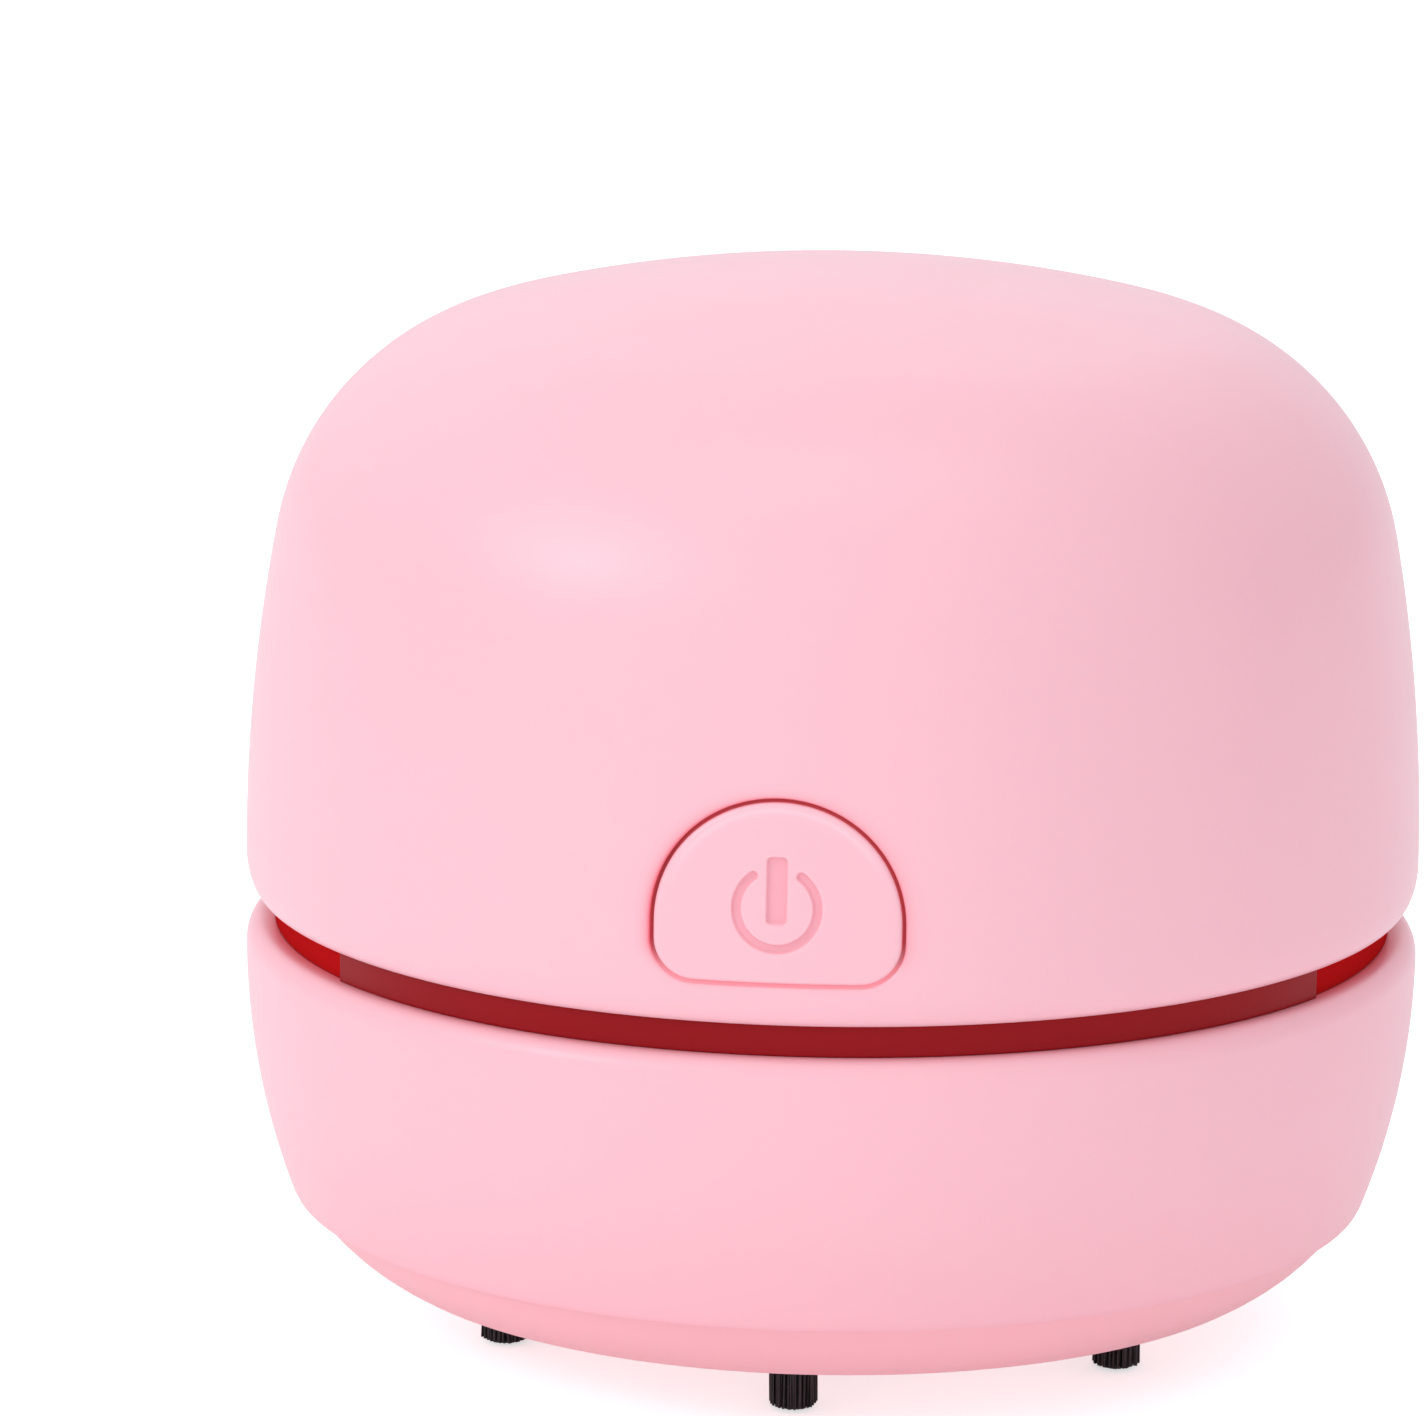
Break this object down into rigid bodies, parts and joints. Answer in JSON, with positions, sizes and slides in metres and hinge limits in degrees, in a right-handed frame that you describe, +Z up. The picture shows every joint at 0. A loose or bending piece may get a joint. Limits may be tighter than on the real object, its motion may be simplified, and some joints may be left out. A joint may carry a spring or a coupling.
{
  "type": "desktop mini vacuum cleaner",
  "caption": "Round two-shell desk vacuum with a domed lift-off cover, front power button, waist outlet band, pull-off dust box and bristle tufts under the inlet.",
  "frame": {"origin": "under the middle of the part, in the plane of the bristle tips", "axes": "+Z up, the power button faces -Y"},
  "size_m": [0.086, 0.086, 0.0781],
  "materials": {
    "cover_pink": "satin gloss pink ABS",
    "button_pink": "satin gloss pink ABS",
    "box_pink": "satin gloss pink ABS",
    "chassis_red": "glossy red moulded plastic",
    "screen_red": "fine red outlet mesh",
    "cover_red": "satin red moulded plastic",
    "seal_rubber": "matte black rubber",
    "bristle": "black nylon bristle",
    "duct_pink": "satin pink ABS",
    "filter_white": "matte white moulded plastic",
    "filter_felt": "white non-woven felt",
    "impeller_white": "matte white moulded plastic",
    "steel": "plated steel",
    "end_cap_white": "matte white moulded plastic",
    "armature": "laminated core and copper winding",
    "ferrite": "dark ferrite",
    "bronze": "sintered bronze",
    "brass": "plated brass",
    "screw_steel": "zinc plated steel",
    "tray_white": "matte white moulded plastic",
    "cell_sleeve": "printed plastic sleeve over a steel cell",
    "contact_steel": "nickel plated steel",
    "board_green": "green solder mask",
    "switch_black": "black moulded plastic",
    "plunger_white": "white moulded plastic",
    "lead_red": "red lead insulation",
    "lead_black": "black lead insulation"
  },
  "bodies": {
    "chassis": {"chassis": "chassis_red", "exhaust_screen": "screen_red", "dust_seal": "seal_rubber", "fan_cover": "cover_red", "fan_cover_screws": "screw_steel", "motor_can": "steel", "motor_end_cap": "end_cap_white", "motor_terminals": "brass", "motor_bushes": "bronze", "motor_magnets": "ferrite", "motor_screws": "screw_steel", "battery_tray": "tray_white", "tray_screws": "screw_steel", "battery_cell_left": "cell_sleeve", "battery_cell_right": "cell_sleeve", "battery_plates": "contact_steel", "battery_springs": "contact_steel", "switch_board": "board_green", "switch_body": "switch_black", "lead_red": "lead_red", "lead_switch": "lead_red", "lead_black": "lead_black"},
    "cover": {"top_cover": "cover_pink"},
    "button": {"power_button": "button_pink"},
    "plunger": {"switch_plunger": "plunger_white"},
    "rotor": {"motor_shaft": "steel", "motor_armature": "armature", "impeller": "impeller_white"},
    "filter": {"filter_frame": "filter_white", "filter_pad": "filter_felt"},
    "dust_box": {"dust_box": "box_pink", "base_plate": "box_pink", "inlet_duct": "duct_pink", "bristle_tufts": "bristle"}
  },
  "joints": [
    {"name": "cover_lift", "type": "slide", "parent": "chassis", "child": "cover", "axis": [0, 0, 1], "range_m": [0, 0.045]},
    {"name": "button_press", "type": "slide", "parent": "cover", "child": "button", "axis": [0, 1, 0], "range_m": [0, 0.0012], "stiffness_N_per_m": 400, "springref_m": -0.002},
    {"name": "plunger_press", "type": "slide", "parent": "chassis", "child": "plunger", "axis": [0, 1, 0], "range_m": [0, 0.0012]},
    {"name": "fan_spin", "type": "hinge", "parent": "chassis", "child": "rotor", "pos_m": [0, 0, 0], "axis": [0, 0, 1], "continuous": true},
    {"name": "filter_pull", "type": "slide", "parent": "chassis", "child": "filter", "axis": [0, 0, -1], "range_m": [0, 0.009]},
    {"name": "dust_box_pull", "type": "slide", "parent": "chassis", "child": "dust_box", "axis": [0, 0, -1], "range_m": [0, 0.03]}
  ],
  "couplings": [
    {"joint": "plunger_press", "follows": "button_press", "ratio": 1}
  ]
}
